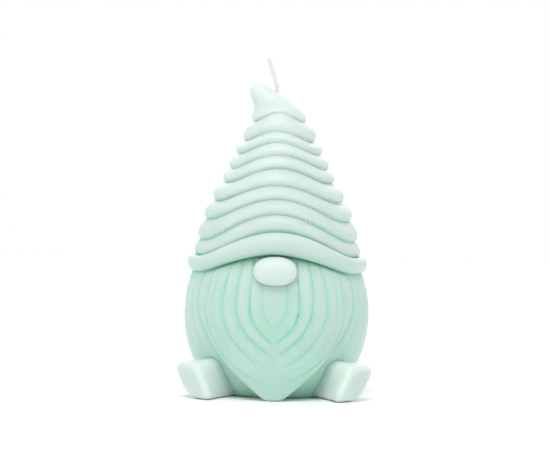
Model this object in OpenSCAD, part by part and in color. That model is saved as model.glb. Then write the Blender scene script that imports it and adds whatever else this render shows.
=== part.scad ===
// Gnome candle: a round tomte gnome cast in wax around one cotton wick.
// Millimetres, +Z up. The gnome looks along -Y. The origin is the foot of the body's
// axis, on the surface that the candle stands on. Angles round that axis are measured
// from the front, positive towards +X.

/* [Body] */
// Radius of the body at its widest
body_r = 37; // [32:0.5:45]
// Height of the body's widest level
belly_z = 32; // [26:0.5:38]
// Half the height of the body's oval profile
body_half_h = 41.5; // [36:0.5:50]
// Rounding of the edge that the body stands on
base_round = 1.2; // [0.5:0.1:2]
// Least radius of the head, which is out of sight inside the hat
head_r = 15; // [10:0.5:20]

/* [Beard] */
// How proud of the body the beard stands
beard_t = 1.8; // [1:0.1:3]
// How far the beard's front draws in from the belly down to its point
beard_tuck = 3; // [0:0.5:6]
// Half the angle that the beard covers at its widest
beard_half = 57; // [45:1:68]
// How deep the grooves between the locks are
lock_depth = 1; // [0.4:0.1:1.6]

/* [Nose] */
// Width of the nose
nose_w = 17; // [12:0.5:22]
// Height of the nose
nose_h = 11.3; // [8:0.1:14]
// How far the nose stands out of the beard
nose_out = 6; // [4:0.5:9]
// Gap between the nose and the brim over it
nose_gap = 0.8; // [0.2:0.1:2]

/* [Hat] */
// Height of the groove above the brim, at the sides
hat_z = 54.8; // [50:0.2:62]
// How far the hat overhangs the body at that groove
hat_over = 1.5; // [0.8:0.1:3]
// How much the lowest groove rises over the face
front_rise = 10.4; // [6:0.2:13]
// Half the angle that the rise spreads over
rise_half = 68; // [50:1:85]
// How far each roll of the hat swells out of its grooves
roll_bulge = 1.5; // [0.8:0.1:2.2]
// Radius of the hat's last groove, below the bent tip
hat_top_r = 10.4; // [8:0.2:14]
// Height of the bent tip above the last groove
tip_h = 14.9; // [10:0.1:18]
// How far the tip leans to the gnome's right
tip_lean = 11.4; // [6:0.1:14]

/* [Brim] */
// Height of the brim at the sides, below the groove over it
brim_h = 6; // [5:0.1:9]
// Extra height of the brim over the face
brim_front_h = 2.6; // [0:0.1:4]
// How far the brim's top edge rises above the groove
brim_lip = 0.4; // [0.2:0.1:1]
// How far the brim swells out beyond the hat at the sides
brim_bulge = 3.6; // [2.4:0.1:5]
// Extra swell of the brim over the face
brim_front_bulge = 2; // [0:0.1:3]

/* [Boots] */
// Width of a boot's sole
boot_w = 15.5; // [12:0.5:17]
// Height of a boot, heel to toe
boot_h = 14.6; // [12:0.2:18]
// Distance from the body's axis to a sole
boot_reach = 45; // [41:0.2:50]
// Angle between a boot and the front
boot_turn = 45; // [40:1:60]
// Lean of the toe away from the beard
boot_splay = 36; // [15:1:40]
// Rounding of the edge of a boot's sole
boot_round = 3; // [2:0.1:4]
// How far a boot's middle stands towards the gnome's side of the line it points along
boot_step = 1.4; // [0:0.2:5]
// Share of its width that the boot keeps at the body
boot_ankle = 0.5; // [0.4:0.05:1]

/* [Wick] */
// Radius of the cotton wick
wick_r = 0.9; // [0.6:0.1:1.5]
// How far the wick drifts to the gnome's right on its way up through the wax
wick_drift = 1.4; // [0:0.1:2.5]
// Length of the wick's leaning end
wick_free = 10.2; // [5:0.2:15]
// Bend of the wick's end
wick_lean = 17; // [5:1:35]
// Radius of the bend between the two
wick_bend_r = 6; // [4:0.5:12]

/* [Wick tab] */
// Radius of the tab's foot
tab_r = 7.5; // [5:0.5:10]
// Thickness of the tab's sheet metal
tab_t = 0.4; // [0.2:0.05:0.6]
// Height of the neck that grips the wick
tab_neck_h = 5; // [3:0.5:8]

/* [Hidden] */

// The gap that keeps two neighbouring solids from sharing space.
gap = 0.05;
// The same between faceted faces, whose flats cut in on a true round.
shell_gap = 0.1;

wax = [0.78, 0.89, 0.85];
cotton = [0.95, 0.95, 0.93];
tinplate = [0.75, 0.76, 0.77];

// Height of each roll at the sides, from the brim up.
roll_rise = [6.7, 7.9, 7.2, 7.5, 5.8, 5.7, 5, 7.8];
// How far each groove has drawn in, from the lowest groove's radius to the last one's.
draw_in = [0, 0.055, 0.16, 0.31, 0.485, 0.58, 0.71, 0.835, 1];
// Share of front_rise by which each groove rises, from the brim up.
rise_share = [1, 1.02, 0.82, 0.66, 0.57, 0.5, 0.42, 0.37, 0.35];
// Rings of the tip: share of tip_lean, of tip_h and of the last groove's radius, and tilt.
tip_rings = [
    [0.05, 0.11, 1.03, 2],
    [0.13, 0.28, 0.92, 8],
    [0.32, 0.46, 0.71, 20],
    [0.55, 0.65, 0.5, 34],
    [0.75, 0.81, 0.38, 42],
    [0.87, 0.9, 0.28, 45],
    [0.95, 0.96, 0.17, 45]
];

// Grooves between the locks: half-angle at the widest level, height of their point and
// how full their curve is.
locks = [[7.2, 28, 2.35], [14.8, 21.9, 2.35], [23.3, 16.9, 2.35], [32.3, 11, 2.7], [46, 5, 2.9]];
// Level below which the locks close in.
lock_z = 39;
// The same for the beard's own outline, whose sides would meet at outline_z.
outline_z = -3;
outline_fullness = 1.6;
// How far the beard's edge falls back to the body.
edge_drop = 2.4;
// Fullness of a boot's corners: 1 is an oval, and less is squarer.
boot_corner = 0.6;

// Steps round the hat, points up each roll, and steps across and up the beard.
hat_steps = 64;
roll_steps = 4;
beard_steps_u = 48;
beard_steps_v = 26;
cavity_steps = 7;
boot_sides = 36;
wick_sides = 24;
wick_bend_steps = 4;

rolls = len(roll_rise);
wick_bore_r = wick_r + gap;
tab_neck_r = wick_bore_r + 2 * tab_t;
wick_exit_z = hat_z + total(roll_rise, rolls) + 0.92 * tip_h;
wick_tilt = atan(wick_drift / wick_exit_z);

// ---- shared shape functions ----

function at(r, phi, z) = [r * sin(phi), -r * cos(phi), z];
function mix(a, b, s) = a + (b - a) * s;
function total(list, n) = n <= 0 ? 0 : list[n - 1] + total(list, n - 1);

function body_radius(z) =
    max(head_r, body_r * sqrt(max(0, 1 - pow((z - belly_z) / body_half_h, 2))));

// Swell of the hat's lines over the face, from 1 in front to 0 at the sides and behind.
function rise(phi) = abs(phi) < rise_half ? (1 + cos(180 * phi / rise_half)) / 2 : 0;

function groove_z(i) = hat_z + total(roll_rise, i);
function groove_r(i) = mix(body_radius(hat_z) + hat_over, hat_top_r, draw_in[i]);
function groove_rise(i) = front_rise * rise_share[i];
function groove_top(phi) = groove_z(0) + groove_rise(0) * rise(phi);

head_top = hat_z + front_rise + 2;
brim_drop = brim_front_h - front_rise;
function brim_bottom(phi) = hat_z - brim_h - brim_drop * rise(phi);

module wick_bore() {
    rotate([0, -wick_tilt, 0])
        translate([0, 0, -1])
            cylinder(r = wick_bore_r, h = wick_exit_z + tip_h, $fn = 48);
}

// ---- body ----

module body_solid(extra = 0) {
    steps = 28;
    rotate_extrude($fn = 96)
        polygon(concat(
            [[0, -extra]],
            extra > 0
                ? [[body_radius(0) + extra, -extra]]
                : [for (a = [0 : 22.5 : 90])
                    let (z = base_round * (1 - cos(a)))
                    [body_radius(z) - base_round * (1 - sin(a)), z]],
            [for (i = [1 : steps])
                let (z = mix(base_round, head_top, i / steps))
                [body_radius(z) + extra, z + (i == steps ? extra : 0)]],
            [[0, head_top + extra]]
        ));
}

module body() {
    color(wax)
        difference() {
            body_solid();
            wick_bore();
            translate([0, 0, -1])
                cylinder(r = tab_r + gap, h = 1 + tab_t + gap, $fn = 64);
            translate([0, 0, -1])
                cylinder(r = tab_neck_r + gap, h = 1 + tab_neck_h + gap, $fn = 48);
        }
}

// ---- closed skins ----

// Joins rows of points, each a closed loop, into the faces of one skin.
function loop_faces(rows, n) = [
    for (j = [0 : rows - 2], i = [0 : n - 1])
        let (a = j * n + i, b = j * n + (i + 1) % n, c = a + n, d = b + n)
        each [[a, b, d], [a, d, c]]
];

// Closes a row with a fan to the point numbered apex.
function fan_faces(row, n, apex) = [
    for (i = [0 : n - 1])
        [row * n + i, row * n + (i + 1) % n, apex]
];

function turned(faces) = [for (f = faces) [f[2], f[1], f[0]]];

// A closed solid through rings of as many points each, with a point to close each end.
// The rings run anticlockwise as seen from the last one.
module skin(rings, first_end, last_end) {
    n = len(rings[0]);
    count = len(rings);
    polyhedron(
        points = concat([for (ring = rings) each ring], [first_end, last_end]),
        faces = concat(
            turned(loop_faces(count, n)),
            fan_faces(0, n, count * n),
            turned(fan_faces(count - 1, n, count * n + 1))
        ),
        convexity = 10);
}

// ---- beard ----

function closing(z, top, bottom, fullness) =
    z > top ? 1 - 0.05 * pow((z - top) / 15, 2) : 1 - pow((top - z) / (top - bottom), fullness);
function outline(z) = beard_half * closing(z, lock_z, outline_z, outline_fullness);
function lock_edge(i, z) = i < 0 ? -lock_edge(0, z)
    : i >= len(locks) ? outline(z)
    : locks[i][0] * closing(z, lock_z, locks[i][1], locks[i][2]);

// The lock that a point lies on is the first whose outer groove is beyond it.
function lock_at(phi, z, i = 0) =
    i >= len(locks) || abs(phi) < lock_edge(i, z) ? i : lock_at(phi, z, i + 1);

// 0 in a groove and 1 on the crown of a lock.
function lock_crown(phi, z) =
    let (
        i = lock_at(phi, z),
        inner = i == 0 ? -lock_edge(0, z) : lock_edge(i - 1, z),
        outer = lock_edge(i, z),
        share = min(1, max(0, (abs(phi) - inner) / max(0.001, outer - inner))),
        fade = min(1, abs(phi) / 4)
    )
    i == 0 ? 1 : 1 - fade * (1 - pow(sin(180 * share), 0.6));

function beard_front(z) =
    z > belly_z ? body_radius(z) + beard_t
    : body_r + beard_t - beard_tuck * pow((belly_z - z) / belly_z, 2);
function beard_radius(phi, z) =
    let (
        low = min(1, max(0, (belly_z - z) / belly_z)),
        across = min(1, abs(phi) / outline(z)),
        face = beard_front(z) - edge_drop * low * pow(across, 4)
    )
    max(body_radius(z) + shell_gap + 0.4, face - lock_depth * (1 - lock_crown(phi, z)));
function beard_top(phi) = brim_bottom(phi) - shell_gap;

module beard() {
    nu = beard_steps_u;
    nv = beard_steps_v;
    // A loop runs across the front at one level and back along the body.
    loops = [for (j = [0 : nv]) concat(
        [for (i = [0 : nu])
            let (u = 2 * i / nu - 1, z = beard_top(u * beard_half) * j / nv, phi = u * outline(z))
            at(beard_radius(phi, z), phi, z)],
        [for (i = [nu : -1 : 0])
            let (u = 2 * i / nu - 1, z = beard_top(u * beard_half) * j / nv, phi = u * outline(z))
            at(body_radius(z) + shell_gap, phi, z)]
    )];
    n = 2 * (nu + 1);
    caps = [for (row = [0, nv], i = [0 : nu - 1])
        let (a = row * n + i, b = a + 1, c = row * n + n - 1 - i, d = c - 1)
        each row > 0 ? [[a, b, d], [a, d, c]] : [[b, a, d], [d, a, c]]];
    color(wax)
        polyhedron(
            points = [for (loop = loops) each loop],
            faces = turned(concat(loop_faces(nv + 1, n), caps)),
            convexity = 6);
}

// ---- nose ----

nose_z = brim_bottom(0) - nose_h / 2 - nose_gap;
nose_y = body_radius(nose_z) + beard_t + nose_out - nose_w * 0.36;

module nose() {
    color(wax)
        difference() {
            translate([0, -nose_y, nose_z])
                scale([nose_w, nose_w * 0.72, nose_h])
                    sphere(d = 1, $fn = 64);
            rotate_extrude($fn = 96)
                polygon(concat(
                    [for (z = [nose_z - nose_h : 2 : nose_z + nose_h])
                        [body_radius(z) + beard_t + shell_gap, z]],
                    [[0, nose_z + nose_h], [0, nose_z - nose_h]]
                ));
        }
}

// ---- hat and brim ----

function roll_swell(s) = pow(sin(180 * pow(s, 0.65)), 0.6);

// One ring of the rolls at level t, where each whole number is a groove.
function roll_ring(t) =
    let (i = min(rolls - 1, floor(t)), s = t - i)
    [for (k = [0 : hat_steps - 1])
        let (phi = 360 * k / hat_steps - 180)
        at(mix(groove_r(i), groove_r(i + 1), s) + (s > 0 && s < 1 ? roll_bulge * roll_swell(s) : 0),
            phi, mix(groove_z(i), groove_z(i + 1), s)
            + mix(groove_rise(i), groove_rise(i + 1), s) * rise(phi))];

// One ring of the tip: a tilted round, whose rise over the face fades out.
function tip_ring(ring) =
    let (r = ring[2] * groove_r(rolls), left = groove_rise(rolls) * max(0, 1 - ring[1] / 0.5))
    [for (k = [0 : hat_steps - 1])
        let (phi = 360 * k / hat_steps - 180)
        [-ring[0] * tip_lean + r * sin(phi) * cos(ring[3]), -r * cos(phi),
            groove_z(rolls) + ring[1] * tip_h + r * sin(phi) * sin(ring[3]) + left * rise(phi)]];

// One ring of the space that the head fills, from the lowest groove up.
function cavity_ring(share) =
    [for (k = [0 : hat_steps - 1])
        let (phi = 360 * k / hat_steps - 180, z = mix(groove_top(phi), head_top + shell_gap, share))
        at(body_radius(z) + shell_gap, phi, z)];

module hat() {
    rings = concat(
        [for (k = [cavity_steps : -1 : 0]) cavity_ring(k / cavity_steps)],
        [for (k = [0 : rolls * roll_steps]) roll_ring(k / roll_steps)],
        [for (ring = tip_rings) tip_ring(ring)]
    );
    color(wax)
        difference() {
            skin(rings, [0, 0, head_top + shell_gap], [-tip_lean, 0, groove_z(rolls) + tip_h]);
            wick_bore();
        }
}

module brim() {
    // The section runs from the groove over the lip, round the swell, in along the
    // underside and back up the body.
    outer = 8;
    inner = 5;
    function section(phi) =
        let (
            top = groove_top(phi) - gap,
            low = brim_bottom(phi),
            seat = body_radius(low) + shell_gap,
            mid_r = max(seat, groove_r(0)) + gap + roll_bulge,
            swell = groove_r(0) + brim_bulge + brim_front_bulge * rise(phi) - mid_r,
            half = (top + brim_lip - low) / 2
        )
        concat(
            [at(groove_r(0), phi, top)],
            [for (k = [0 : outer])
                let (a = 90 - 180 * k / outer)
                at(mid_r + swell * cos(a), phi, low + half * (1 + sin(a)))],
            [for (k = [0 : inner])
                let (z = mix(low, top, k / inner))
                at(body_radius(z) + shell_gap, phi, z)]
        );
    n = outer + inner + 3;
    sections = [for (k = [0 : hat_steps - 1]) section(360 * k / hat_steps - 180)];
    color(wax)
        polyhedron(
            points = [for (s = sections) each s],
            faces = [for (k = [0 : hat_steps - 1], i = [0 : n - 1])
                let (
                    a = k * n + i,
                    b = k * n + (i + 1) % n,
                    c = ((k + 1) % hat_steps) * n + i,
                    d = ((k + 1) % hat_steps) * n + (i + 1) % n
                )
                each [[a, d, b], [a, c, d]]],
            convexity = 6);
}

// ---- boots ----

// Points round a rounded square of half-width 1, whose corners are fuller than a circle's.
function round_square(k, n) =
    let (a = 360 * k / n, c = cos(a), s = sin(a))
    [sign(c) * pow(abs(c), boot_corner), sign(s) * pow(abs(s), boot_corner)];

// A point of the boot: lateral place, distance out from the axis and height, turned
// to the boot's own direction. The sole leans outwards by boot_splay, and the ankle,
// where the boot meets the body, stands upright.
function boot_point(side, up, out) =
    let (
        z = boot_h / 2 + up,
        lean = out == undef ? 0 : tan(boot_splay) * up,
        l = side + lean + boot_step,
        r = body_radius(z) + shell_gap
    )
    let (d = out == undef ? sqrt(r * r - l * l) : out)
    [l * cos(boot_turn) + d * sin(boot_turn), l * sin(boot_turn) - d * cos(boot_turn), z];

// One ring of the boot, drawn in by inset from its full outline.
function boot_ring(inset, out) =
    [for (k = [0 : boot_sides - 1])
        let (p = round_square(k, boot_sides))
        boot_point((out == undef ? boot_ankle : 1) * (boot_w / 2 - inset) * p[0],
            (boot_h / 2 - inset) * p[1], out)];

module boot() {
    // Out from the body's own surface, round the edge of the sole, and in to its middle.
    rings = concat(
        [for (s = [0.8 : -0.2 : 0]) boot_ring(s * boot_w / 2, undef)],
        [for (a = [90 : -30 : 0])
            boot_ring(boot_round * (1 - sin(a)), boot_reach - boot_round * (1 - cos(a)))],
        [boot_ring(0.35 * boot_w, boot_reach)]
    );
    skin(rings, boot_point(0, 0, undef), boot_point(0, 0, boot_reach));
}

module right_boot() {
    color(wax)
        mirror([1, 0, 0])
            boot();
}

module left_boot() {
    color(wax)
        boot();
}

// ---- wick and its tab ----

// One ring of the wick: how far it lies to the right, its height, and the lean there.
function wick_ring(x, z, lean) =
    [for (k = [0 : wick_sides - 1])
        let (phi = 360 * k / wick_sides, across = wick_r * sin(phi))
        [across * cos(lean) - x, -wick_r * cos(phi), across * sin(lean) + z]];

module wick() {
    bend_x = wick_bend_r * (1 - cos(wick_lean));
    bend_z = wick_exit_z + wick_bend_r * sin(wick_lean);
    end_x = bend_x + wick_free * sin(wick_lean);
    end_z = bend_z + wick_free * cos(wick_lean);
    rings = concat(
        [wick_ring(0, gap, 0)],
        [for (k = [0 : wick_bend_steps])
            let (a = wick_lean * k / wick_bend_steps)
            wick_ring(wick_bend_r * (1 - cos(a)), wick_exit_z + wick_bend_r * sin(a), a)],
        [wick_ring(end_x, end_z, wick_lean)]
    );
    color(cotton)
        rotate([0, -wick_tilt, 0])
            skin(rings, [0, 0, gap], [-end_x, 0, end_z]);
}

module wick_tab() {
    color(tinplate)
        difference() {
            union() {
                cylinder(r = tab_r, h = tab_t, $fn = 64);
                cylinder(r = tab_neck_r, h = tab_neck_h, $fn = 48);
            }
            wick_bore();
        }
}

body();
beard();
nose();
brim();
hat();
left_boot();
right_boot();
wick();
wick_tab();
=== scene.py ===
import math
import random

import bmesh
import bpy
import numpy as np
from mathutils import Matrix, Vector


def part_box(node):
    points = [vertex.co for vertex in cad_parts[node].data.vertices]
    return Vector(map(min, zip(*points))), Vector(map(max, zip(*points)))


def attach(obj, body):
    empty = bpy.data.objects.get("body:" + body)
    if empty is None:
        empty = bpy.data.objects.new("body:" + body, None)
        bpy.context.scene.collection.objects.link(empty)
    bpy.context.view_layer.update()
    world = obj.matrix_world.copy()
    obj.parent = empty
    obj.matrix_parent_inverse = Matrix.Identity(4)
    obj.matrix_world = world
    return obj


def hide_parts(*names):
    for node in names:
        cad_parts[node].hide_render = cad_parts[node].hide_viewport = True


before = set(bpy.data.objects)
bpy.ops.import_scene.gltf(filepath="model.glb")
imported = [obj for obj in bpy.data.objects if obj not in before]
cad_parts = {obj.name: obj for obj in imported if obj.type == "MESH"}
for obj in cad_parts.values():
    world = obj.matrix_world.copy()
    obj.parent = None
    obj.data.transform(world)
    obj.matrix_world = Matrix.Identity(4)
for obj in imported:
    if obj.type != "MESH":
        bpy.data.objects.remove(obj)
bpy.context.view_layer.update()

MM = 0.001


def low_corner(node):
    return np.array(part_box(node)[0]) / MM


def high_corner(node):
    return np.array(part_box(node)[1]) / MM


# ---- body ----

BODY_R, _, HEAD_TOP = high_corner("body")
BELLY_Z = 32  # the body's widest level
BODY_HALF = 41.5  # half the height of its oval profile
HEAD_R = 15  # the head's least radius, inside the hat
BASE_ROUND = 1.2
RECESS_GAP = 0.15  # between the wick tab and the wax round it
RECESS_DEPTH = 0.45
COLUMNS = 540  # points round the body and round the hat

# ---- hat ----

HAT_Z = low_corner("hat")[2]  # the lowest groove, at the sides
HAT_OVER = 1.5  # how far it overhangs the body
HAT_TOP_R = 10.4  # radius of the last groove
TIP_LEAN = 11.4  # how far the bent tip reaches to the left
TIP_H = 14.9
FRONT_RISE = 10.4  # how much the lowest groove rises over the face
RISE_HALF = 68  # half the angle over which the grooves rise
ROLL_RISE = [6.7, 7.9, 7.2, 7.5, 5.8, 5.7, 5, 7.8]  # height of each roll at the sides
ROLLS = len(ROLL_RISE)
# Each groove, from the lowest: how far it is drawn in from the lowest one's radius to the
# last one's, and its share of the rise over the face.
DRAW_IN = [0, 0.055, 0.16, 0.31, 0.485, 0.58, 0.71, 0.835, 1]
RISE_SHARE = [1, 1.02, 0.82, 0.66, 0.57, 0.5, 0.42, 0.37, 0.35]
# How deep each groove is cut in front, at the left and at the right.
FRONT_CUT = [0.3, 0.24, 0.2, 0.2, 0.24, 0.12, 0.05, 0.05, 0.0]
LEFT_CUT = [0.5, 0.45, 0.45, 0.45, 0.45, 0.4, 0.36, 0.28, 0.15]
RIGHT_CUT = [0.5, 0.45, 0.45, 0.45, 0.45, 0.4, 0.36, 0.42, 0.5]
FULL_CUT = 0.45  # the cut at which a groove gets the full painted shade
CREST_OUT = [0.7, 0.8, 0.6, 0.5, 0.5, 0.4, 0.5, 0.4]  # how far each roll overhangs its lower groove
SOFT = 0.8  # from 0, a sharp lip over each groove, to 1, an even V
UNDERSIDE = 2.1  # height of the rounded underside of a roll
# The bent tip's sections: centre towards the lean, height, radius and tilt. The first
# three are shares of TIP_LEAN, TIP_H and HAT_TOP_R.
TIP_RINGS = [
    (0.0, 0.0, 1.0, 0),
    (0.05, 0.11, 1.03, 2),
    (0.13, 0.28, 0.92, 8),
    (0.32, 0.46, 0.71, 20),
    (0.55, 0.65, 0.5, 34),
    (0.75, 0.81, 0.38, 42),
    (0.87, 0.9, 0.28, 45),
    (0.95, 0.96, 0.17, 45),
    (0.985, 0.99, 0.07, 45),
]
HAT_BUBBLES = 34

# ---- brim ----

BRIM_LOW = low_corner("brim")[2]
BRIM_FRONT_R = -low_corner("brim")[1]
BRIM_SIDE_R = high_corner("brim")[0]
BRIM_FRONT_H = 2.6  # extra height over the face
BRIM_LIP = 0.4  # how far it stands up past its seam with the hat
BRIM_COLUMNS = 480

# ---- beard ----

BEARD_T = 1.8  # how proud of the body the beard stands
BEARD_THIN = 0.85  # share of that lost at its sides
BEARD_TUCK = 3  # how far its point draws back under the belly
BEARD_HALF = 57  # half the angle it covers at its widest
BEARD_LIP = 2.0  # rounding of its edge
BEARD_FOOT = 1.4  # rounding of its point, where it meets the ground
BEARD_BACK = 4.0  # how far its back lies inside the body
BEARD_IN_BRIM = 1.5  # how far it runs up inside the brim
BEARD_COLUMNS = 360
BEARD_ROWS = 210
BEARD_BUBBLES = 16
EDGE_DROP = 2.4  # how much further its sides draw back low down
EDGE_UNDERCUT = 1.6  # how far its cut edge slants in behind the lip
OUTLINE_Z = -3  # where the beard's two sides would meet
OUTLINE_FULL = 1.6  # 1 is a straight-sided point, and more is fuller
OUTLINE_DEPTH = 0.5  # the groove in the hair along the beard's sides
LOCK_Z = 39  # below this level the locks close in towards the point
# Each groove between the locks: half-angle, level of its point, fullness, depth, and
# the level below which it is shallow, as the locks run together at the centre.
LOCKS = [
    (7.2, 28, 2.35, 0.3, 31),
    (14.8, 21.9, 2.35, 0.75, 20),
    (23.3, 16.9, 2.35, 0.6, 19),
    (32.3, 11, 2.7, 0.5, 17),
    (40, 8, 2.8, 0.2, 22),
    (46, 5, 2.9, 0.42, 12),
]
# The hair beside the beard: half-angle of each groove, the level its sides would meet
# at, and its depth.
SIDE_LOCKS = [(64, -14, 0.35), (72, -34, 0.22), (81, -60, 0.12)]
LAST_LOCK_WIDTH = 12  # angle over which the last groove fades out behind
DEEP_GROOVE = 0.8  # the groove depth that gets the full painted shade
MIDDLE_SINK = 0.4  # how much deeper the middle lies than the locks that frame it
FINE_HAIR = 0.05  # depth of the fine waves across the locks

# ---- nose ----

NOSE_LOW = low_corner("nose")
NOSE_HIGH = high_corner("nose")
NOSE_HALF_DEPTH = 6.1
NOSE_HALF_H = 5.75
NOSE_LIFT = 0.15  # above the middle of the CAD nose
NOSE_FULL = 0.9  # 1 is an ellipsoid, and less is fuller

# ---- boots ----

BOOT_W = 15.5
BOOT_H = high_corner("left_boot")[2]
BOOT_START = 19  # from the axis to the boot's hidden end, inside the body
BOOT_REACH = 45  # and to its sole
BOOT_TURN = 45  # outwards from the front
BOOT_SPLAY = 36  # how far the sole leans outwards
BOOT_STEP = 1.4  # shift sideways, away from the beard
BOOT_ANKLE = 0.5  # share of its width that a boot keeps at the body
BOOT_CORNER = 0.62  # 1 is a round section, and less is squarer
BOOT_EDGE = 3.6  # rounding of the edge of the sole
BOOT_FLARE = 3.2  # how far it spreads where it runs into the body
BOOT_COLUMNS = 120

# ---- wick and tab ----

WICK_R = 0.9
WICK_DRIFT = 1.4  # how far to the left its run inside the wax ends
WICK_LEAN = 17  # of its free end, to the left
WICK_FREE = 10.2  # straight length beyond the bend
WICK_BEND_R = 6
WICK_STEP = 0.25  # between the points along it
BRAID_PITCH = 8.0  # length of one turn of a strand
STRAND_R = 0.34
TAB_R, _, TAB_TOP = high_corner("wick_tab")
TAB_T = 0.4  # thickness of its disc
TAB_PINCH = 0.16  # how far its neck is pressed in

# ---- small functions ----


def mix(a, b, s):
    return a + (b - a) * s


def ease(x, low, high):
    """0 below low, 1 above high and smooth between."""
    s = np.clip((x - low) / (high - low), 0, 1)
    return s * s * (3 - 2 * s)


def at(r, phi, z):
    """Points at a radius, an angle from the front and a height."""
    a = np.radians(phi)
    r, a, z = np.broadcast_arrays(r, a, z)
    return np.stack([r * np.sin(a), -r * np.cos(a), z], axis=-1)


def turn_round(count):
    """Angles once round the axis."""
    return np.linspace(-180, 180, count, endpoint=False)


def wobble(phi, z, seed, size):
    """The slow unevenness of a surface modelled by hand, the same at -180 and 180."""
    a = np.radians(phi)
    return size * (
        0.5 * np.sin(2 * a + 0.06 * z + seed)
        + 0.3 * np.sin(3 * a - 0.11 * z + 1.7 * seed)
        + 0.2 * np.sin(5 * a + 0.17 * z + 2.3 * seed)
    )


def rounding(radius, distance):
    """How far a rounded edge draws back, at a distance in from the side that it rounds."""
    short = np.maximum(radius - distance, 0)
    return radius - np.sqrt(np.maximum(radius**2 - short**2, 0))


def through(keys, count):
    """Rows of numbers on a smooth curve through the rows of keys (Catmull-Rom)."""
    k = np.array(keys, float)
    k = np.vstack([2 * k[0] - k[1], k, 2 * k[-1] - k[-2]])
    out = []
    for t in np.linspace(0, len(keys) - 1, count):
        i = min(int(t), len(keys) - 2)
        s = t - i
        a, b, c, d = k[i : i + 4]
        bend = 2 * a - 5 * b + 4 * c - d + s * (3 * (b - c) + d - a)
        out.append(b + 0.5 * s * (c - a + s * bend))
    return np.array(out)


def tangents(path):
    along = np.gradient(path, axis=0)
    return along / np.linalg.norm(along, axis=1, keepdims=True)


class Skin:
    """Closed surfaces gathered into one mesh, with a value at each point for the shade or highlight
    painted into its colour.

    A point is 1 deep in a groove, where the painted shade is deepest, 0 in the open and below 0 where
    it catches the light, as a painted highlight.
    """

    def __init__(self):
        self.points, self.faces, self.hollow, self.count = [], [], [], 0

    def keep(self, points, hollow):
        self.points.append(points)
        self.hollow.append(hollow)
        self.count += len(points)

    def rings(self, rings, first, last, hollow=None):
        """A surface through rings of as many points each, closed with a point at both ends."""
        rings = np.asarray(rings, float)
        rows, n = rings.shape[:2]
        base = self.count
        row, col = np.meshgrid(np.arange(rows - 1), np.arange(n), indexing="ij")
        a = base + row * n + col
        b = base + row * n + (col + 1) % n
        self.faces += np.stack([a, b, b + n, a + n], axis=-1).reshape(-1, 4).tolist()
        k = np.arange(n)
        start, end = base + k, base + (k + 1) % n
        top = (rows - 1) * n
        first_index = base + rows * n
        self.faces += np.stack([end, start, np.full(n, first_index)], axis=-1).tolist()
        self.faces += np.stack([start + top, end + top, np.full(n, first_index + 1)], axis=-1).tolist()
        flat = np.zeros(rows * n) if hollow is None else np.asarray(hollow).reshape(-1)
        self.keep(rings.reshape(-1, 3), flat)
        self.keep(np.array([first, last], float), np.zeros(2))

    def band(self, sections, hollow=None):
        """A ring-shaped surface through closed sections that meet round the ring."""
        rows, n = sections.shape[:2]
        row, col = np.meshgrid(np.arange(rows), np.arange(n), indexing="ij")
        here = self.count + row * n
        there = self.count + ((row + 1) % rows) * n
        beside = (col + 1) % n
        quads = np.stack([here + col, here + beside, there + beside, there + col], axis=-1)
        self.faces += quads.reshape(-1, 4).tolist()
        flat = np.zeros(rows * n) if hollow is None else np.asarray(hollow).reshape(-1)
        self.keep(sections.reshape(-1, 3), flat)

    def tube(self, path, radius, sides):
        """A round tube along a path of points."""
        along = tangents(path)
        side = np.cross(along, (0.0, 1.0, 0.01))
        side /= np.linalg.norm(side, axis=1, keepdims=True)
        up = np.cross(side, along)
        a = np.linspace(0, 2 * math.pi, sides, endpoint=False)[None, :, None]
        rings = path[:, None] + radius * (np.cos(a) * side[:, None] - np.sin(a) * up[:, None])
        self.rings(rings, path[0], path[-1])

    def bead(self, centre, radius):
        """A small ball, such as the cast of a bubble in the mould."""
        lat = np.radians(np.linspace(-75, 75, 7))[:, None]
        lon = np.linspace(0, 2 * math.pi, 12, endpoint=False)[None]
        ball = np.stack(
            [np.cos(lat) * np.cos(lon), np.cos(lat) * np.sin(lon), np.sin(lat) + 0 * lon], axis=-1
        )
        pole = np.array([0, 0, radius])
        # Painted highlight: the whole ball is painted palest, as a speck that catches the light.
        self.rings(centre + radius * ball, centre - pole, centre + pole, -np.ones(ball.shape[:2]))

    def build(self, name, node, material, open_painted_shade=0.3):
        """The finished piece: it stands for a CAD node and rides on the frame's one body.

        The last argument is the painted shade of its open surface: 0 is pale, below 0 paler, a painted
        highlight, and 1 deepest.
        """
        mesh = bpy.data.meshes.new(name)
        mesh.from_pydata((np.vstack(self.points) * MM).tolist(), [], self.faces)
        hollow = mesh.attributes.new("hollow", "FLOAT", "POINT")
        depth = np.clip(np.concatenate(self.hollow), -1, 1)
        hollow.data.foreach_set("value", mix(open_painted_shade, 1, depth).astype(np.float32))
        work = bmesh.new()
        work.from_mesh(mesh)
        bmesh.ops.recalc_face_normals(work, faces=work.faces)
        work.to_mesh(mesh)
        work.free()
        mesh.polygons.foreach_set("use_smooth", [True] * len(mesh.polygons))
        mesh.materials.append(material)
        piece = bpy.data.objects.new(name, mesh)
        bpy.context.scene.collection.objects.link(piece)
        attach(piece, "root")
        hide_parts(node)


# ---- the candle's own forms ----


def body_radius(z):
    oval = BODY_R * np.sqrt(np.maximum(0, 1 - ((z - BELLY_Z) / BODY_HALF) ** 2))
    return np.maximum(oval, HEAD_R)


def rise(phi):
    """How much of a groove's rise there is: 1 in front and 0 at the sides and behind."""
    phi = np.abs(phi)
    return np.where(phi < RISE_HALF, (1 + np.cos(math.pi * phi / RISE_HALF)) / 2, 0)


GROOVE_Z = HAT_Z + np.concatenate([[0], np.cumsum(ROLL_RISE)])
GROOVE_R = mix(float(body_radius(HAT_Z)) + HAT_OVER, HAT_TOP_R, np.array(DRAW_IN))
GROOVE_RISE = FRONT_RISE * np.array(RISE_SHARE)
TIP_Z = GROOVE_Z[-1] + TIP_H


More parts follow.
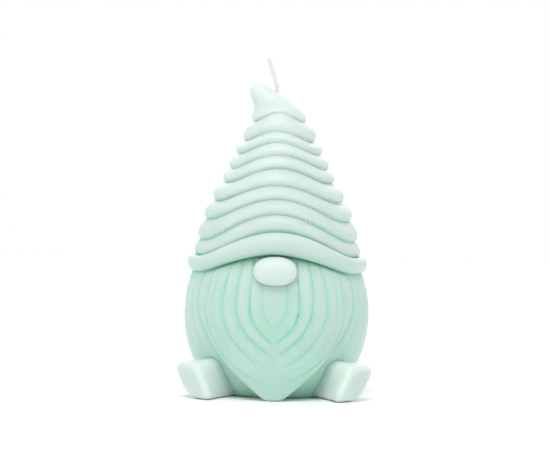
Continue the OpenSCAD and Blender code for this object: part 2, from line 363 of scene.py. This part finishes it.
def groove_height(i, phi):
    return GROOVE_Z[i] + GROOVE_RISE[i] * rise(phi) + wobble(phi, 9.0 * i, 0.8 * i, 0.3)


def brim_bottom(phi):
    return BRIM_LOW + (FRONT_RISE - BRIM_FRONT_H) * rise(phi) + wobble(phi, 0.0, 2.1, 0.2)


def under_brim(phi, z):
    """1 where the surface meets the brim, and 0 from 5 mm below it; it masks the painted shade under
    the brim.
    """
    return ease(z, brim_bottom(phi) - 5, brim_bottom(phi))


def closing(z, bottom, fullness):
    """What is left of a groove's half-angle at a level, as the locks close in on the point."""
    above = 1 - 0.05 * (np.maximum(z - LOCK_Z, 0) / 15) ** 2
    below = 1 - (np.maximum(LOCK_Z - z, 0) / (LOCK_Z - bottom)) ** fullness
    return np.where(z > LOCK_Z, above, below)


def outline(z):
    """Half the angle that the beard covers at a level."""
    return BEARD_HALF * closing(z, OUTLINE_Z, OUTLINE_FULL)


def outline_groove(z):
    """How much there is at a level of the groove along the beard's sides."""
    return ease(z, 12, 26)


# ---- wax ----


def relief(phi, z, grooves, start):
    """How deep the surface sinks, in mm: each groove is a soft V, deepest along its line."""
    side = np.abs(phi)
    sink = np.zeros(np.broadcast(phi, z).shape)
    inner = start
    for edge, outer, deep in grooves:
        room_in = np.maximum(edge - inner, 0.4)
        room_out = np.maximum(outer - edge, 0.4)
        d = side - edge
        across = np.where(d < 0, -d / room_in, d / room_out)
        reach = np.where(d < 0, 0.42, 0.62)
        slope = np.clip(across / reach, 0, 1)
        sink = np.maximum(sink, deep * (1 - np.sin(0.5 * math.pi * slope) ** 0.62))
        inner = edge
    return sink


def beard_relief(phi, z):
    """How far the beard's surface sinks in its grooves, and the painted shade there: in the grooves,
    down the middle and under the brim.
    """
    edges = [w * closing(z, tip, full) for w, tip, full, _, _ in LOCKS] + [outline(z)]
    grooves = []
    for k, (w, _, _, deep, faint) in enumerate(LOCKS):
        waver = 0.5 * np.sin(0.21 * z + 1.9 * k) * (0.6 + 0.4 * np.sign(phi))
        run_out = ease(edges[k], -1.0, 0.3 * w) * mix(0.35, 1, ease(z, faint - 8, faint + 4))
        grooves.append((edges[k] + waver, edges[k + 1], deep * run_out))
    sink = relief(phi, z, grooves, np.zeros_like(z))
    inside = ease(edges[1] - np.abs(phi), 0, 3.5) * ease(z, 20, 30)
    # Painted shade: deepest in the grooves and a little down the middle.
    hollow = np.clip(sink / DEEP_GROOVE + 0.12 * inside, 0, 1)
    sink = sink + MIDDLE_SINK * inside
    hair = np.sin(2.1 * np.abs(phi) + 0.5 * np.sin(0.3 * z)) * ease(sink, 0.35, 0.0)
    return sink + FINE_HAIR * hair * ease(z, 8, 20), np.maximum(hollow, 0.6 * under_brim(phi, z))


def beard_face(phi, z):
    """The beard's front surface, without its grooves: it hangs clear of the body low down."""
    low = np.clip((BELLY_Z - z) / BELLY_Z, 0, 1)
    across = np.clip(np.abs(phi) / np.maximum(outline(z), 0.1), 0, 1)
    on_body = body_radius(z) + BEARD_T * (1 - BEARD_THIN * ease(across, 0.55, 1.0))
    hanging = BODY_R + BEARD_T - BEARD_TUCK * low**2 - EDGE_DROP * low * across**4
    return mix(on_body, hanging, ease(low, 0.15, 0.65))


def side_relief(phi, z):
    """The shallower grooves in the hair beside the beard, and the painted shade in them."""
    edges = [w * closing(z, end, OUTLINE_FULL) for w, end, _ in SIDE_LOCKS]
    edges.append(edges[-1] + LAST_LOCK_WIDTH)
    grooves = [(outline(z), edges[0], OUTLINE_DEPTH * outline_groove(z))]
    for k, (_, _, deep) in enumerate(SIDE_LOCKS):
        grooves.append((edges[k], edges[k + 1], deep * outline_groove(z)))
    sink = relief(phi, z, grooves, outline(z) - 6)
    return sink, np.clip(sink / DEEP_GROOVE, 0, 1)


def make_body(wax):
    """The round body and the head inside the hat, with the tab's recess under it."""
    rows = 170
    phi = turn_round(COLUMNS)
    z = np.linspace(0, 1, rows)[:, None] * HEAD_TOP
    sink, hollow = side_relief(phi, z)
    uneven = wobble(phi, z, 0.4, 0.12) * ease(z, 0, 6)
    r = body_radius(z) - rounding(BASE_ROUND, z) - sink + uneven
    recess_r = TAB_R + RECESS_GAP
    base = [
        at(recess_r * 0.6, phi, RECESS_DEPTH),
        at(recess_r, phi, RECESS_DEPTH),
        at(recess_r + 0.1, phi, 0.0),
    ]
    base += [at(mix(recess_r, r[0], s), phi, 0.0) for s in (0.35, 0.7, 0.93)]
    # Painted shade, deeper in colour where little light gets in: beside the boots, under the brim and
    # in the side hair's grooves.
    shade = 0.4 * (1 - ease(z, 1, 16)) * ease(np.cos(np.radians(phi)), 0.2, 0.8)
    shade = shade + 0.5 * under_brim(phi, z)
    hollow = np.vstack([np.zeros((len(base), COLUMNS)), np.maximum(hollow, shade)])
    skin = Skin()
    rings = np.concatenate([base, at(r, phi, z)])
    skin.rings(rings, (0, 0, RECESS_DEPTH), (0, 0, HEAD_TOP), hollow)
    skin.build("wax_body", "body", wax)


def beard_edge(side, r, phi, z):
    """The beard's cut edge on one side, from its face back into the body, at each level."""
    inner = body_radius(z)
    undercut = EDGE_UNDERCUT * ease(z, 30, 14)
    wall = []
    for s in np.linspace(0, 1, 7)[1:]:
        back = np.degrees(undercut * math.sin(0.5 * math.pi * s) / inner)
        back = np.minimum(back, np.abs(phi) * 0.5)
        wall.append(at(mix(r, inner - BEARD_BACK, s), phi - side * back, z))
    return np.stack(wall, axis=1)


def make_beard(wax, chance):
    """A thick carved sheet whose lower edge stands off the body in a rounded lip."""
    u = np.linspace(-1, 1, BEARD_COLUMNS)
    top = brim_bottom(u * BEARD_HALF) + BEARD_IN_BRIM
    z = np.linspace(0, 1, BEARD_ROWS)[:, None] ** 1.08 * top
    foot = rounding(BEARD_FOOT, z)
    width = outline(z) - np.degrees(foot / BODY_R)
    phi = u * width
    face = beard_face(phi, z)
    sink, hollow = beard_relief(phi, z)
    from_edge = (1 - np.abs(u)) * np.radians(width) * face
    # Beside the hair the edge dips into the groove that the body carries along it.
    groove = outline_groove(z)
    stand = np.clip(face - body_radius(z), 0.2, BEARD_LIP) + (OUTLINE_DEPTH + 0.05) * groove
    lip = stand * rounding(BEARD_LIP, from_edge) / BEARD_LIP
    tuck = 1.8 * ease(z, top - 2.8, top - 0.4)
    r = face - sink - lip - foot - tuck
    # Painted highlight: the lip is painted paler where it stands proud of the body and catches the
    # light.
    hollow = hollow - 0.9 * ease(from_edge, BEARD_LIP, 0.4 * BEARD_LIP) * ease(z, 26, 12)
    # Painted shade where the edge dips into the body's groove.
    hollow = hollow + 0.6 * ease(from_edge, 0.7 * BEARD_LIP, 0) * groove
    right = beard_edge(1, r[:, -1], phi[:, -1], z[:, -1])
    left = beard_edge(-1, r[:, 0], phi[:, 0], z[:, 0])[:, ::-1]
    rings = np.concatenate([at(r, phi, z), right, left], axis=1)
    # Painted shade on the cut edge, deeper where it runs along the body's groove.
    shades = [hollow] + [0.3 + 0.3 * outline_groove(wall[..., 2]) for wall in (right, left)]
    skin = Skin()
    first = (0, 5 - r[0].mean(), 0)
    last = (0, 6 - body_radius(top.max()), top.mean())
    skin.rings(rings, first, last, np.concatenate(shades, axis=1))
    for _ in range(BEARD_BUBBLES):
        w, tip, full, _, _ = chance.choice(LOCKS[1:4])
        level = chance.uniform(30, 48)
        side = chance.choice((-1, 1, 1)) * w * closing(level, tip, full)
        out = beard_face(side, level) - 0.9
        skin.bead(at(out, side, level), chance.uniform(0.18, 0.4))
    skin.build("wax_beard", "beard", wax)


def make_nose(wax):
    half_w = (NOSE_HIGH[0] - NOSE_LOW[0]) / 2
    middle = (NOSE_LOW[2] + NOSE_HIGH[2]) / 2 + NOSE_LIFT
    centre = np.array([0, NOSE_LOW[1] + NOSE_HALF_DEPTH, middle])
    lat = np.radians(np.linspace(-88, 88, 60))[:, None]
    lon = np.linspace(0, 2 * math.pi, 96, endpoint=False)[None]

    def full(v):
        return np.sign(v) * np.abs(v) ** NOSE_FULL

    ball = np.stack(
        [
            half_w * full(np.cos(lat)) * full(np.cos(lon)),
            NOSE_HALF_DEPTH * full(np.cos(lat)) * full(np.sin(lon)),
            NOSE_HALF_H * full(np.sin(lat)) + 0 * lon,
        ],
        axis=-1,
    )
    skin = Skin()
    skin.rings(centre + ball, centre - (0, 0, NOSE_HALF_H), centre + (0, 0, NOSE_HALF_H))
    # Painted highlight: the nose's open surface is painted a little paler than the body's.
    skin.build("wax_nose", "nose", wax, -0.1)


def make_brim(wax):
    """One thick roll round the foot of the hat, higher over the face."""
    phi = turn_round(BRIM_COLUMNS)
    top = groove_height(0, phi) - 0.1
    low = brim_bottom(phi)
    mid = max(float(body_radius(HAT_Z)), GROOVE_R[0]) + 1.0
    swell = mix(BRIM_SIDE_R, BRIM_FRONT_R, rise(phi)) + wobble(phi, 0.0, 1.2, 0.25) - mid
    angle = np.linspace(96, -96, 34)[:, None]
    out = np.cos(np.radians(angle))
    r = mid + np.where(out < 0, 2.0, swell) * out
    z = low + (top + BRIM_LIP - low) / 2 * (1 + np.sin(np.radians(angle)))
    seat = [
        at(body_radius(low) - 5, phi, low + 1.5),
        at(body_radius(low) - 7, phi, (low + top) / 2),
        at(GROOVE_R[0] - 7, phi, top - 0.5),
        at(GROOVE_R[0] - 0.6, phi, top),
    ]
    # Painted shade on the brim's underside, near its seam with the hat and over its hidden seat.
    near_hat, underside = ease(angle, 62, 88), ease(angle, -35, -88)
    shade = np.broadcast_to(np.maximum(near_hat, underside), r.shape)
    hollow = np.concatenate([shade, np.ones((len(seat), BRIM_COLUMNS))])
    sections = np.concatenate([at(r, phi, z), seat])
    skin = Skin()
    skin.band(np.swapaxes(sections, 0, 1), np.swapaxes(hollow, 0, 1))
    skin.build("wax_brim", "brim", wax)


def cut(i, phi):
    """How deep a groove of the hat is cut at an angle."""
    a = np.radians(phi)
    side = np.where(np.sin(a) < 0, LEFT_CUT[i], RIGHT_CUT[i])
    return mix(side, np.where(np.cos(a) > 0, FRONT_CUT[i], RIGHT_CUT[0]), np.cos(a) ** 2)


def roll_rings(i, phi):
    """One shingled roll of the hat: its rings from groove to groove, each with its painted shade,
    deepest at the grooves.
    """
    cut_low, cut_high = cut(i, phi), cut(i + 1, phi)
    low_r, high_r = GROOVE_R[i] - cut_low, GROOVE_R[i + 1] - cut_high
    crest = GROOVE_R[i] + CREST_OUT[i] * (0.35 + 1.3 * cut_low)
    turn_s = UNDERSIDE / ROLL_RISE[i]
    shape = []
    for a in np.radians(np.linspace(0, 90, 10)):
        up = mix(1 - math.cos(a), 2 * a / math.pi, SOFT)
        shape.append((turn_s * up, mix(low_r, crest, math.sin(a))))
    for x in 1 - (1 - np.linspace(0, 1, 18)[1:-1]) ** 1.3:
        shape.append((mix(turn_s, 1, x), mix(high_r, crest, 1 - x**1.9)))
    for s, r in shape:
        z = mix(groove_height(i, phi), groove_height(i + 1, phi), s)
        swell = wobble(phi, 5.0 * i, 1.1 * i + 0.5, 0.22) * math.sin(math.pi * s)
        # Painted shade near each groove, by how deeply it is cut.
        near_low = max(0, 1 - s * ROLL_RISE[i] / 1.5)
        near_high = max(0, 1 - (1 - s) * ROLL_RISE[i] / 1.3)
        hollow = np.maximum(near_low * cut_low, near_high * cut_high) / FULL_CUT
        yield at(r + swell, phi, z), hollow


def tip_rings(phi):
    """The bent tip: rings that lean over to the left, each with the painted shade of the last groove.
    """
    a = np.radians(phi)
    last_cut = cut(ROLLS, phi)
    for x, h, r, tilt in through(TIP_RINGS, 64):
        r = r * HAT_TOP_R - last_cut * max(0, 1 - h / 0.05)
        lift = GROOVE_RISE[-1] * max(0, 1 - h / 0.5) * rise(phi)
        across = r * np.sin(a)
        t = math.radians(tilt)
        ring_x = -x * TIP_LEAN + across * math.cos(t)
        ring_z = GROOVE_Z[-1] + h * TIP_H + across * math.sin(t) + lift
        hollow = last_cut / FULL_CUT * max(0, 1 - h / 0.1)
        yield np.stack([ring_x, -r * np.cos(a), ring_z], axis=-1), hollow


def make_hat(wax, chance):
    phi = turn_round(COLUMNS)
    # The first ring, hidden inside the brim, is painted in full shade.
    rows = [(at(GROOVE_R[0] - 4, phi, groove_height(0, phi) - 2.0), np.ones(COLUMNS))]
    for i in range(ROLLS):
        rows += roll_rings(i, phi)
    rows += tip_rings(phi)
    rings, hollow = zip(*rows)
    skin = Skin()
    skin.rings(rings, (0, 0, HAT_Z - 1), (-TIP_LEAN, 0, TIP_Z), hollow)
    for _ in range(HAT_BUBBLES):
        i = chance.choice((0, 0, 0, 1, 1, 2, 3, 4, 5, 6, 7))
        side = chance.uniform(-75, 75)
        centre = at(GROOVE_R[i] + 0.3, side, groove_height(i, side) + 0.1)
        skin.bead(centre, chance.uniform(0.2, 0.42))
    skin.build("wax_hat", "hat", wax)


def make_boot(wax, side):
    """side is 1 for the gnome's left boot and -1 for the right one."""
    a = np.linspace(0, 2 * math.pi, BOOT_COLUMNS, endpoint=False)
    wide = np.sign(np.cos(a)) * np.abs(np.cos(a)) ** BOOT_CORNER
    high = np.sign(np.sin(a)) * np.abs(np.sin(a)) ** BOOT_CORNER
    turn, splay = math.radians(BOOT_TURN), math.tan(math.radians(BOOT_SPLAY))

    def place(across, up, out, sole):
        lateral = across * mix(BOOT_ANKLE, 1, sole) + splay * sole * up + BOOT_STEP
        x = lateral * math.cos(turn) + out * math.sin(turn)
        y = lateral * math.sin(turn) - out * math.cos(turn)
        return np.stack([side * x, y, up + BOOT_H / 2], axis=-1)

    def ring(inset, out):
        half_w = BOOT_W / 2 - inset
        across = half_w * wide
        up = (BOOT_H / 2 - inset) * high
        foot = body_radius(up + BOOT_H / 2)  # where this level meets the body
        start = np.sqrt(foot**2 - (across * BOOT_ANKLE + BOOT_STEP) ** 2)
        sole = np.clip((out - start) / (BOOT_REACH - start), 0, 1) ** 1.25
        flare = BOOT_FLARE * np.exp(-np.maximum(out - start, 0) / 1.5)
        # Painted shade where the boot runs into the body, and a painted highlight on its sides, which
        # the sole face lacks.
        hollow = 0.9 * ease(out - start, 4, 0) + 0.3 * ease(inset, 0, BOOT_EDGE) - 0.3
        spread = across * (1 + flare / half_w)
        return place(spread, up + 0.35 * flare * (up > 0), out, sole), hollow

    rows = [ring(0, out) for out in np.linspace(BOOT_START, BOOT_REACH - BOOT_EDGE, 48)]
    for k in np.radians(np.linspace(0, 90, 16)[1:]):
        rows.append(ring(BOOT_EDGE * (1 - math.cos(k)), BOOT_REACH - BOOT_EDGE * (1 - math.sin(k))))
    for inset in (4.4, 5.3, 6.0):
        rows.append(ring(inset, BOOT_REACH + 0.1 * (inset - BOOT_EDGE)))
    rings, hollow = zip(*rows)
    skin = Skin()
    skin.rings(rings, place(0, 0, BOOT_START, 0), place(0, 0, BOOT_REACH + 0.3, 1), hollow)
    name = "left_boot" if side > 0 else "right_boot"
    # Painted highlight: the boots' open surface is painted a little paler than the body's.
    skin.build("wax_" + name, name, wax, -0.12)


# ---- wick and tab ----


def wick_path(step):
    """Points up the wick, from its foot to its cut end."""
    exit_z = GROOVE_Z[-1] + 0.92 * TIP_H
    tilt = math.atan(WICK_DRIFT / exit_z)
    points = [(0.0, z) for z in np.arange(0.1, exit_z, step)]
    lean = math.radians(WICK_LEAN)
    for a in np.linspace(0, lean, 8):
        points.append((-WICK_BEND_R * (1 - math.cos(a)), exit_z + WICK_BEND_R * math.sin(a)))
    x, z = points[-1]
    for d in np.arange(step, WICK_FREE + step / 2, step):
        points.append((x - d * math.sin(lean), z + d * math.cos(lean)))
    x, z = np.array(points).T
    c, s = math.cos(tilt), math.sin(tilt)
    return np.stack([x * c - z * s, 0 * x, z * c + x * s], axis=-1)


def make_wick(cotton, chance):
    """A round braid of eight strands, four each way, over a core."""
    path = wick_path(WICK_STEP)
    gaps = np.linalg.norm(np.diff(path, axis=0), axis=1)
    length = np.concatenate([[0], np.cumsum(gaps)])
    along = tangents(path)
    side = np.cross(along, (0.0, 1.0, 0.0))
    depth = np.cross(side, along)
    turn = 2 * math.pi * length / BRAID_PITCH
    skin = Skin()
    skin.tube(path, WICK_R * 0.55, 10)
    for way in (1, -1):
        for k in range(4):
            a = way * turn + k * math.pi / 2
            r = WICK_R - STRAND_R + 0.05 * (way * np.cos(4 * turn) - 1)
            strand = path + (r * np.cos(a))[:, None] * side + (r * np.sin(a))[:, None] * depth
            end = len(path) - chance.choice((0, 1, 1, 2))
            skin.tube(strand[:end], STRAND_R, 7)
    skin.build("cotton_wick", "wick", cotton)


def make_tab(tin):
    """A pressed disc with a rolled edge, and a neck pinched on to the wick."""
    bore = WICK_R + 0.02
    neck_r = bore + 0.45
    profile = [
        (bore, 0.0),
        (TAB_R - 0.3, 0.0),
        (TAB_R - 0.08, 0.07),
        (TAB_R, 0.2),
        (TAB_R - 0.08, 0.34),
        (TAB_R - 0.3, TAB_T),
        (TAB_R - 1.0, TAB_T),
        (TAB_R - 1.3, TAB_T - 0.1),
        (neck_r + 1.2, TAB_T - 0.1),
        (neck_r + 0.5, TAB_T),
        (neck_r + 0.12, TAB_T + 0.3),
        (neck_r, TAB_T + 0.8),
        (neck_r, TAB_TOP - 0.15),
        (neck_r - 0.1, TAB_TOP),
        (bore + 0.05, TAB_TOP),
        (bore, TAB_TOP - 0.1),
    ]
    phi = turn_round(96)
    pinch = TAB_PINCH * (0.5 + 0.5 * np.cos(np.radians(4 * phi))) ** 2
    sections = []
    for r, z in profile:
        on_neck = ease(z, 1.2, 2.5) * (1 - ease(z, TAB_TOP - 1.0, TAB_TOP)) * (r > bore + 0.2)
        sections.append(at(r - pinch * on_neck, phi, z))
    skin = Skin()
    skin.band(np.swapaxes(sections, 0, 1))
    skin.build("tin_wick_tab", "wick_tab", tin)


# ---- materials ----

# WAX_MINT is the wax's own colour; the paler one is painted highlight, the deeper green one painted
# shade, and WAX_FROST the whitish frost in the wax.
WAX_PAINTED_HIGHLIGHT = (0.70, 0.79, 0.745)
WAX_MINT = (0.56, 0.68, 0.63)
WAX_PAINTED_SHADE = (0.345, 0.69, 0.55)
WAX_FROST = (0.72, 0.81, 0.77)


class Nodes:
    """A material's node tree, with short calls to add and join its nodes."""

    def __init__(self, name):
        self.material = bpy.data.materials.new(name)
        self.material.use_nodes = True
        self.tree = self.material.node_tree
        self.shader = self.tree.nodes["Principled BSDF"]
        self.place = self.add("ShaderNodeTexCoord").outputs["Object"]

    def add(self, kind, **values):
        """A new node. A value is one of its settings, or else the input of that name."""
        node = self.tree.nodes.new(kind)
        for name, value in values.items():
            if hasattr(node, name):
                setattr(node, name, value)
            else:
                node.inputs[name.title()].default_value = value
        return node

    def join(self, out, into):
        self.tree.links.new(out, into)

    def feed(self, out, name):
        """Joins an output to the shader's input of that name."""
        self.join(out, self.shader.inputs[name])

    def set(self, **values):
        for name, value in values.items():
            self.shader.inputs[name.replace("_", " ")].default_value = value

    def noise(self, scale, detail=3.0, roughness=0.5):
        node = self.add("ShaderNodeTexNoise", scale=scale, detail=detail, roughness=roughness)
        self.join(self.place, node.inputs["Vector"])
        return node.outputs["Fac"]

    def spread(self, value, low, high, to_low, to_high):
        """A value between low and high, stretched to another range."""
        node = self.add("ShaderNodeMapRange")
        for i, v in enumerate((low, high, to_low, to_high)):
            node.inputs[i + 1].default_value = v
        self.join(value, node.inputs[0])
        return node.outputs[0]

    def sum(self, a, b):
        node = self.add("ShaderNodeMath", operation="ADD")
        self.join(a, node.inputs[0])
        self.join(b, node.inputs[1])
        return node.outputs[0]

    def blend(self, share, a, b):
        """A colour between two, which may be colours or outputs."""
        node = self.add("ShaderNodeMix", data_type="RGBA")
        self.join(share, node.inputs[0])
        for socket, colour in ((node.inputs[6], a), (node.inputs[7], b)):
            if isinstance(colour, tuple):
                socket.default_value = (*colour, 1)
            else:
                self.join(colour, socket)
        return node.outputs[2]

    def bump(self, height, distance, strength, after=None):
        node = self.add("ShaderNodeBump", distance=distance, strength=strength)
        self.join(height, node.inputs["Height"])
        if after is not None:
            self.join(after, node.inputs["Normal"])
        return node.outputs["Normal"]


def wax_material():
    """Pale mint wax: light sinks into it. Painted shade makes the grooves, the recesses and the lower
    body greener and deeper, and painted highlight makes the crests, lips, bubbles and upper hat paler.
    """
    n = Nodes("mint_wax")
    # The painted shade and highlight stored at each piece's points.
    hollow = n.add("ShaderNodeAttribute", attribute_name="hollow").outputs["Fac"]
    cloud = n.spread(n.noise(55, 2), 0.35, 0.65, -0.08, 0.08)
    frost = n.noise(1000, 4, 0.6)
    height = n.add("ShaderNodeSeparateXYZ")
    n.join(n.place, height.inputs[0])
    # Painted shade by height: darker towards the bottom and paler towards the top of the hat, as the
    # light falls from above.
    painted_shade_by_height = n.spread(height.outputs["Z"], 0.01, 0.12, 0.5, -0.15)
    # Painted shade and highlight, with a slow random cloud in the wax's own colour.
    depth = n.sum(n.sum(hollow, cloud), painted_shade_by_height)
    # The wax's own mint, painted paler as a highlight and deeper and greener as shade.
    open_wax = n.blend(n.spread(depth, 0, 0.5, 0, 1), WAX_PAINTED_HIGHLIGHT, WAX_MINT)
    greener = n.blend(n.spread(depth, 0.5, 1.2, 0, 1), open_wax, WAX_PAINTED_SHADE)
    n.feed(n.blend(n.spread(frost, 0.48, 0.78, 0, 0.25), greener, WAX_FROST), "Base Color")
    n.feed(n.spread(n.noise(260, 3), 0.3, 0.7, 0.34, 0.46), "Roughness")
    soft = n.bump(n.noise(160, 3), 0.0003, 0.5)
    n.feed(n.bump(n.noise(1500, 3), 0.00004, 0.6, soft), "Normal")
    n.set(Subsurface_Weight=0.9, Subsurface_Scale=0.0035, Subsurface_Radius=(0.8, 1.0, 0.9), IOR=1.44)
    return n.material


def cotton_material():
    n = Nodes("cotton_braid")
    fibre = n.noise(2600, 4, 0.7)
    n.feed(n.blend(fibre, (0.7, 0.7, 0.69), (0.84, 0.84, 0.83)), "Base Color")
    n.feed(n.bump(fibre, 0.00008, 0.8), "Normal")
    n.set(Roughness=0.85, Sheen_Weight=0.3, Sheen_Roughness=0.5)
    return n.material


def tin_material():
    n = Nodes("pressed_tinplate")
    scuff = n.noise(900, 5, 0.7)
    n.feed(n.blend(scuff, (0.55, 0.56, 0.57), (0.72, 0.73, 0.74)), "Base Color")
    n.feed(n.spread(scuff, 0.3, 0.7, 0.25, 0.45), "Roughness")
    n.feed(n.bump(scuff, 0.00003, 0.5), "Normal")
    n.set(Metallic=1.0)
    return n.material


def floor_material():
    n = Nodes("pale_floor")
    n.feed(n.blend(n.noise(8, 2), (0.95, 0.95, 0.95), (0.96, 0.96, 0.96)), "Base Color")
    n.set(Roughness=0.9)
    return n.material


# ---- studio, in metres ----

FLOOR_SIZE = 2.08
ROOM = 0.76  # how bright the room in front is, beside the white sweep behind
KEY_POWER = 5.6  # watts
BACK_POWER = 2.6
LIT_POINT = Vector((0, 0, 0.06))  # where the lights point
CAMERA_DISTANCE = 1.0
CAMERA_HEIGHT = 0.103
CAMERA_AZIMUTH = math.radians(1.2)
CAMERA_ROLL = math.radians(1.05)
CAMERA_LENS = 163.6
AIM = Vector((-0.0012, 0, 0.0672))


def show(name, data):
    """A new object in the scene."""
    thing = bpy.data.objects.new(name, data)
    bpy.context.scene.collection.objects.link(thing)
    return thing


def make_floor():
    half = FLOOR_SIZE / 2
    corners = [(-half, -half, 0), (half, -half, 0), (half, half, 0), (-half, half, 0)]
    mesh = bpy.data.meshes.new("floor")
    mesh.from_pydata(corners, [], [(0, 1, 2, 3)])
    mesh.materials.append(floor_material())
    show("floor", mesh)


def make_world():
    """White behind the candle, and greyer behind the camera and overhead."""
    world = bpy.data.worlds.new("studio")
    world.use_nodes = True
    tree = world.node_tree
    background = tree.nodes["Background"]
    way = tree.nodes.new("ShaderNodeTexCoord")
    split = tree.nodes.new("ShaderNodeSeparateXYZ")
    fall = tree.nodes.new("ShaderNodeMapRange")
    for socket, value in enumerate((0.2, 0.9, ROOM, 1.0), start=1):
        fall.inputs[socket].default_value = value
    tree.links.new(way.outputs["Generated"], split.inputs[0])
    tree.links.new(split.outputs["Y"], fall.inputs[0])
    tree.links.new(fall.outputs[0], background.inputs["Strength"])
    background.inputs["Color"].default_value = (1, 1, 1, 1)
    bpy.context.scene.world = world


def make_softbox(name, place, size, power):
    light = bpy.data.lights.new(name, "AREA")
    light.shape = "DISK"
    light.size = size
    light.energy = power
    lamp = show(name, light)
    lamp.location = place
    lamp.rotation_euler = (LIT_POINT - Vector(place)).to_track_quat("-Z", "Y").to_euler()


def make_camera():
    data = bpy.data.cameras.new("camera")
    data.lens = CAMERA_LENS
    data.clip_start = 0.01
    camera = show("camera", data)
    x = CAMERA_DISTANCE * math.sin(CAMERA_AZIMUTH)
    y = -CAMERA_DISTANCE * math.cos(CAMERA_AZIMUTH)
    camera.location = (x, y, CAMERA_HEIGHT)
    look = (AIM - camera.location).to_track_quat("-Z", "Y").to_matrix()
    camera.rotation_euler = (look @ Matrix.Rotation(CAMERA_ROLL, 3, "Z")).to_euler()
    bpy.context.scene.camera = camera


# ---- the candle and its studio ----

chance = random.Random(20)
wax = wax_material()
make_body(wax)
make_beard(wax, chance)
make_nose(wax)
make_brim(wax)
make_hat(wax, chance)
make_boot(wax, 1)
make_boot(wax, -1)
make_wick(cotton_material(), chance)
make_tab(tin_material())

make_floor()
make_world()
make_softbox("key", (-0.08, -0.6, 1.0), 0.6, KEY_POWER)
make_softbox("back", (0.0, 0.9, 0.6), 0.9, BACK_POWER)
make_camera()
bpy.context.scene.view_settings.view_transform = "Standard"
